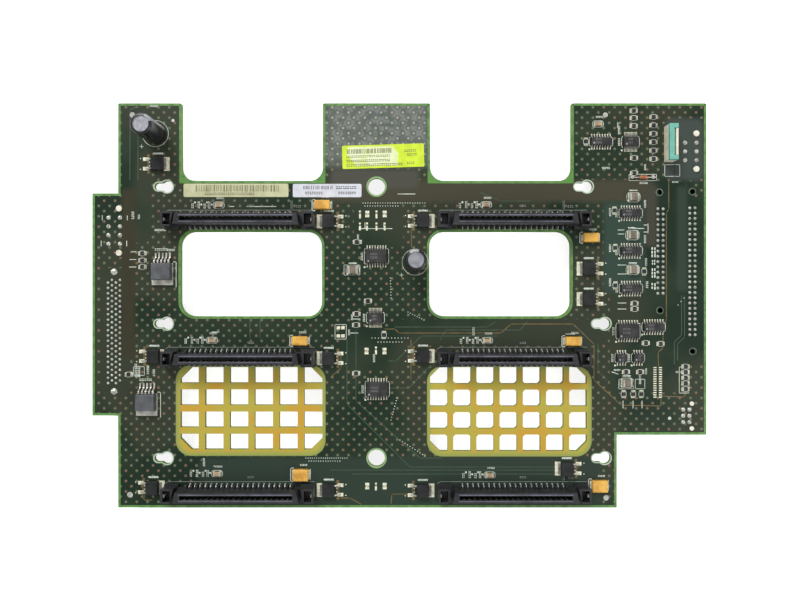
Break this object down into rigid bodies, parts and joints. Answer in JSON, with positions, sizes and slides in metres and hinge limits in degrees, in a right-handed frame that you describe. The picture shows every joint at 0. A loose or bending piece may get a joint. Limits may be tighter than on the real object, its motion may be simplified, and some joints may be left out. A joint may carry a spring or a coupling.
{
  "type": "drive backplane board",
  "caption": "Flat circuit board with rows of slot sockets for hot-plug drives, airflow windows and grids, keyhole hangers, power parts and rear cable headers.",
  "frame": {"origin": "centre of the board's outline, on the plane of the tallest rear headers' mouths", "axes": "+X along the drive sockets to the board's right, +Y to the notched edge, +Z out of the drive side"},
  "size_m": [0.2952, 0.1944, 0.0352],
  "materials": {
    "laminate": "dark green solder mask over glass laminate, bare laminate on the ribs",
    "black_housing": "black moulded thermoplastic",
    "plated_contact": "thin gold plating over a copper alloy",
    "tinned_metal": "dull tin plating",
    "can_aluminium": "drawn aluminium",
    "black_sleeve": "shrunk black film",
    "moulded_body": "dark moulding compound",
    "amber_moulding": "amber moulding compound",
    "resistor_film": "dark film on white ceramic with tinned ends",
    "tan_ceramic": "fired tan ceramic with tinned ends",
    "dark_ferrite": "dark grey ferrite with tinned ends",
    "clear_glass": "amber glass bead",
    "cream_plastic": "cream moulded thermoplastic",
    "teal_plastic": "pale teal moulded thermoplastic",
    "natural_nylon": "uncoloured nylon",
    "label_paper": "coated label stock, printed with plain bars"
  },
  "bodies": {
    "board_assembly": {"board": "laminate", "cable_connector_housing": "cream_plastic", "cable_contacts": "plated_contact", "capacitor_cans": "can_aluminium", "capacitor_leads": "tinned_metal", "ceramic_capacitors": "tan_ceramic", "chip_inductors": "dark_ferrite", "chip_leads": "tinned_metal", "chip_resistors": "resistor_film", "dense_connector_contacts": "plated_contact", "dense_connector_housing": "black_housing", "dense_connector_locks": "tinned_metal", "diode_body": "clear_glass", "diode_leads": "tinned_metal", "drive_contacts_1": "plated_contact", "drive_contacts_2": "plated_contact", "drive_contacts_3": "plated_contact", "drive_contacts_4": "plated_contact", "drive_contacts_5": "plated_contact", "drive_contacts_6": "plated_contact", "drive_socket_1": "black_housing", "drive_socket_2": "black_housing", "drive_socket_3": "black_housing", "drive_socket_4": "black_housing", "drive_socket_5": "black_housing", "drive_socket_6": "black_housing", "fan_header": "natural_nylon", "fine_pitch_chip_1": "moulded_body", "fine_pitch_chip_2": "moulded_body", "guide_contacts": "plated_contact", "header_34_shroud": "black_housing", "header_50_shroud": "black_housing", "header_pins": "plated_contact", "labels": "label_paper", "narrow_chip_1": "moulded_body", "narrow_chip_2": "moulded_body", "narrow_chip_3": "moulded_body", "narrow_chip_4": "moulded_body", "narrow_chip_5": "moulded_body", "power_header_6": "natural_nylon", "power_header_8": "natural_nylon", "power_header_pins": "tinned_metal", "regulator_body_1": "moulded_body", "regulator_body_2": "moulded_body", "regulator_leads": "tinned_metal", "regulator_tabs": "tinned_metal", "small_chip_1": "moulded_body", "small_chip_2": "moulded_body", "tantalum_bodies": "amber_moulding", "tantalum_terminals": "tinned_metal", "transistor_bodies": "moulded_body", "transistor_leads": "tinned_metal", "transistor_tabs": "tinned_metal", "wide_chip_1": "moulded_body", "wide_chip_2": "moulded_body", "wide_chip_3": "moulded_body"},
    "cable_latch": {"cable_latch": "teal_plastic"}
  },
  "joints": [
    {"name": "cable_latch_slide", "type": "slide", "parent": "board_assembly", "child": "cable_latch", "axis": [0, 0, 1], "range_m": [0, 0.0012]}
  ]
}
